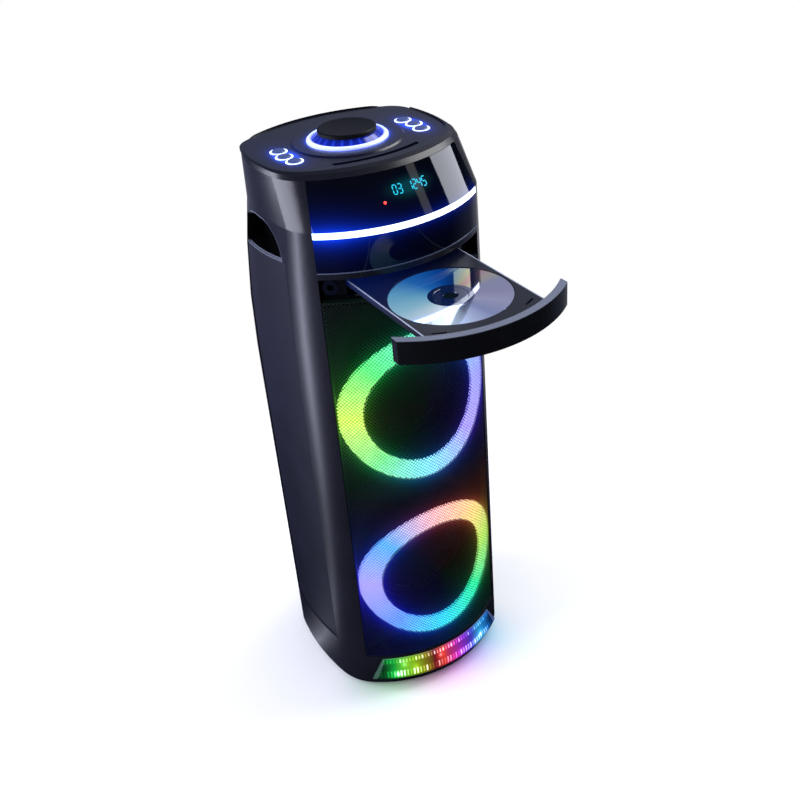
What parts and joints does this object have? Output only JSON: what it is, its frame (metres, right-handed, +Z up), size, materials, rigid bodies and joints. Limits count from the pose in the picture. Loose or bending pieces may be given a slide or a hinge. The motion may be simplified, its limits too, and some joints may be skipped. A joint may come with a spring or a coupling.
{
  "type": "party speaker",
  "caption": "Upright party speaker with a motor-driven disc tray, round volume knob, lit rings behind a bowed grille and grips at the sides.",
  "frame": {"origin": "on the floor under the middle of the cabinet", "axes": "+Z up, -Y out of the front the way the tray opens, +X to the right seen from the front"},
  "size_m": [0.236, 0.3898, 0.6724],
  "materials": {
    "shell": "satin dark blue-grey moulding",
    "side_panel": "fine matt black",
    "grip": "gloss black",
    "gloss_panel": "piano black",
    "bezel": "satin black",
    "deck": "satin graphite",
    "inner_plastic": "plain moulded black",
    "tray": "fine satin blue-black",
    "rubber": "matt",
    "clear": "clear polished",
    "diffuser": "milky",
    "grille": "matt black perforated sheet",
    "board": "green resin",
    "display": "black glass over a board",
    "steel": "plain",
    "zinc": "zinc plated",
    "ferrite": "dull ferrite",
    "cone": "pressed pulp black",
    "jack": "plated ring nut",
    "disc": "silver mirror under clear lacquer",
    "gear": "natural white",
    "knob": "satin cap over a lit skirt",
    "key": "satin grey",
    "battery": "shrink sleeve"
  },
  "bodies": {
    "cabinet": {"front_shell": "shell", "rear_shell": "shell", "side_panel_left": "side_panel", "side_panel_right": "side_panel", "grip_cup_left": "grip", "grip_cup_right": "grip", "base_plate": "inner_plastic", "rubber_feet": "rubber", "base_lens": "clear", "base_led_board": "board", "grille": "grille", "baffle": "inner_plastic", "ring_diffusers": "diffuser", "ring_led_boards": "board", "woofer_baskets": "steel", "woofer_magnets": "ferrite", "woofer_surrounds": "rubber", "recess_liner": "inner_plastic", "front_jacks": "jack", "loader_chassis": "inner_plastic", "loader_motor": "zinc", "clamp_bridge": "inner_plastic", "display_panel": "gloss_panel", "lower_panel": "gloss_panel", "light_strip": "diffuser", "display_module": "display", "top_deck": "deck", "encoder": "zinc", "knob_light_ring": "diffuser", "key_light_rings": "diffuser", "control_board": "board", "rear_socket_panel": "inner_plastic", "mains_inlet": "inner_plastic", "bass_port": "inner_plastic", "main_board": "board", "battery_pack": "battery", "case_screws": "steel"},
    "tray": {"disc_tray": "tray", "tray_bezel": "bezel"},
    "disc": {"disc": "disc"},
    "drive_gear": {"drive_gear": "gear"},
    "idler_gear": {"idler_gear": "gear"},
    "motor_pinion": {"motor_pinion": "gear"},
    "pickup": {"pickup_frame": "inner_plastic", "spindle_motor": "zinc", "sled_rails": "steel"},
    "turntable": {"turntable": "gear"},
    "sled": {"pickup_sled": "inner_plastic"},
    "puck": {"clamp_puck": "inner_plastic"},
    "knob": {"volume_knob": "knob", "knob_shaft": "steel"},
    "upper_cone": {"upper_cone": "cone"},
    "lower_cone": {"lower_cone": "cone"},
    "power_switch": {"power_switch": "inner_plastic"},
    "key_left_rear": {"key_left_rear": "key"},
    "key_left_mid": {"key_left_mid": "key"},
    "key_left_front": {"key_left_front": "key"},
    "key_right_rear": {"key_right_rear": "key"},
    "key_right_mid": {"key_right_mid": "key"},
    "key_right_front": {"key_right_front": "key"}
  },
  "joints": [
    {"name": "tray_slide", "type": "slide", "parent": "cabinet", "child": "tray", "axis": [0, -1, 0], "range_m": [-0.1524, 0]},
    {"name": "disc_lift", "type": "slide", "parent": "tray", "child": "disc", "axis": [0, 0, 1], "range_m": [0, 0.03]},
    {"name": "drive_gear_turn", "type": "hinge", "parent": "cabinet", "child": "drive_gear", "pos_m": [-0.04, -0.083, 0.544], "axis": [0, 0, 1], "range_deg": [-728.5, 0]},
    {"name": "idler_gear_turn", "type": "hinge", "parent": "cabinet", "child": "idler_gear", "pos_m": [-0.019, -0.083, 0.54], "axis": [0, 0, 1], "range_deg": [0, 1820]},
    {"name": "motor_pinion_turn", "type": "hinge", "parent": "cabinet", "child": "motor_pinion", "pos_m": [0.001, -0.083, 0.537], "axis": [0, 0, 1], "range_deg": [-4246, 0]},
    {"name": "pickup_raise", "type": "hinge", "parent": "cabinet", "child": "pickup", "pos_m": [0, 0.058, 0.54], "axis": [-1, 0, 0], "range_deg": [0, 5.85]},
    {"name": "turntable_spin", "type": "hinge", "parent": "pickup", "child": "turntable", "pos_m": [0, -0.02836, 0.54553], "axis": [0, -0.1019, 0.9948], "continuous": true},
    {"name": "sled_travel", "type": "slide", "parent": "pickup", "child": "sled", "axis": [0, 0.9948, 0.1019], "range_m": [0, 0.031]},
    {"name": "puck_spin", "type": "hinge", "parent": "cabinet", "child": "puck", "pos_m": [0, -0.02735, 0.557], "axis": [0, 0, 1], "continuous": true},
    {"name": "knob_turn", "type": "hinge", "parent": "cabinet", "child": "knob", "pos_m": [0, 0.007, 0.662], "axis": [0, 0, 1], "continuous": true},
    {"name": "upper_cone_travel", "type": "slide", "parent": "cabinet", "child": "upper_cone", "axis": [0, -1, 0], "range_m": [-0.004, 0.004], "stiffness_N_per_m": 1500},
    {"name": "lower_cone_travel", "type": "slide", "parent": "cabinet", "child": "lower_cone", "axis": [0, -1, 0], "range_m": [-0.004, 0.004], "stiffness_N_per_m": 1500},
    {"name": "power_switch_tip", "type": "hinge", "parent": "cabinet", "child": "power_switch", "pos_m": [-0.028, 0.10275, 0.368], "axis": [-1, 0, 0], "range_deg": [0, 14]},
    {"name": "key_left_rear_press", "type": "slide", "parent": "cabinet", "child": "key_left_rear", "axis": [0, 0, -1], "range_m": [0, 0.0012], "stiffness_N_per_m": 400},
    {"name": "key_left_mid_press", "type": "slide", "parent": "cabinet", "child": "key_left_mid", "axis": [0, 0, -1], "range_m": [0, 0.0012], "stiffness_N_per_m": 400},
    {"name": "key_left_front_press", "type": "slide", "parent": "cabinet", "child": "key_left_front", "axis": [0, 0, -1], "range_m": [0, 0.0012], "stiffness_N_per_m": 400},
    {"name": "key_right_rear_press", "type": "slide", "parent": "cabinet", "child": "key_right_rear", "axis": [0, 0, -1], "range_m": [0, 0.0012], "stiffness_N_per_m": 400},
    {"name": "key_right_mid_press", "type": "slide", "parent": "cabinet", "child": "key_right_mid", "axis": [0, 0, -1], "range_m": [0, 0.0012], "stiffness_N_per_m": 400},
    {"name": "key_right_front_press", "type": "slide", "parent": "cabinet", "child": "key_right_front", "axis": [0, 0, -1], "range_m": [0, 0.0012], "stiffness_N_per_m": 400}
  ],
  "couplings": [
    {"joint": "drive_gear_turn", "follows": "tray_slide", "rad_per_m": 83.333},
    {"joint": "idler_gear_turn", "follows": "tray_slide", "rad_per_m": -208.33},
    {"joint": "motor_pinion_turn", "follows": "tray_slide", "rad_per_m": 486.11}
  ]
}
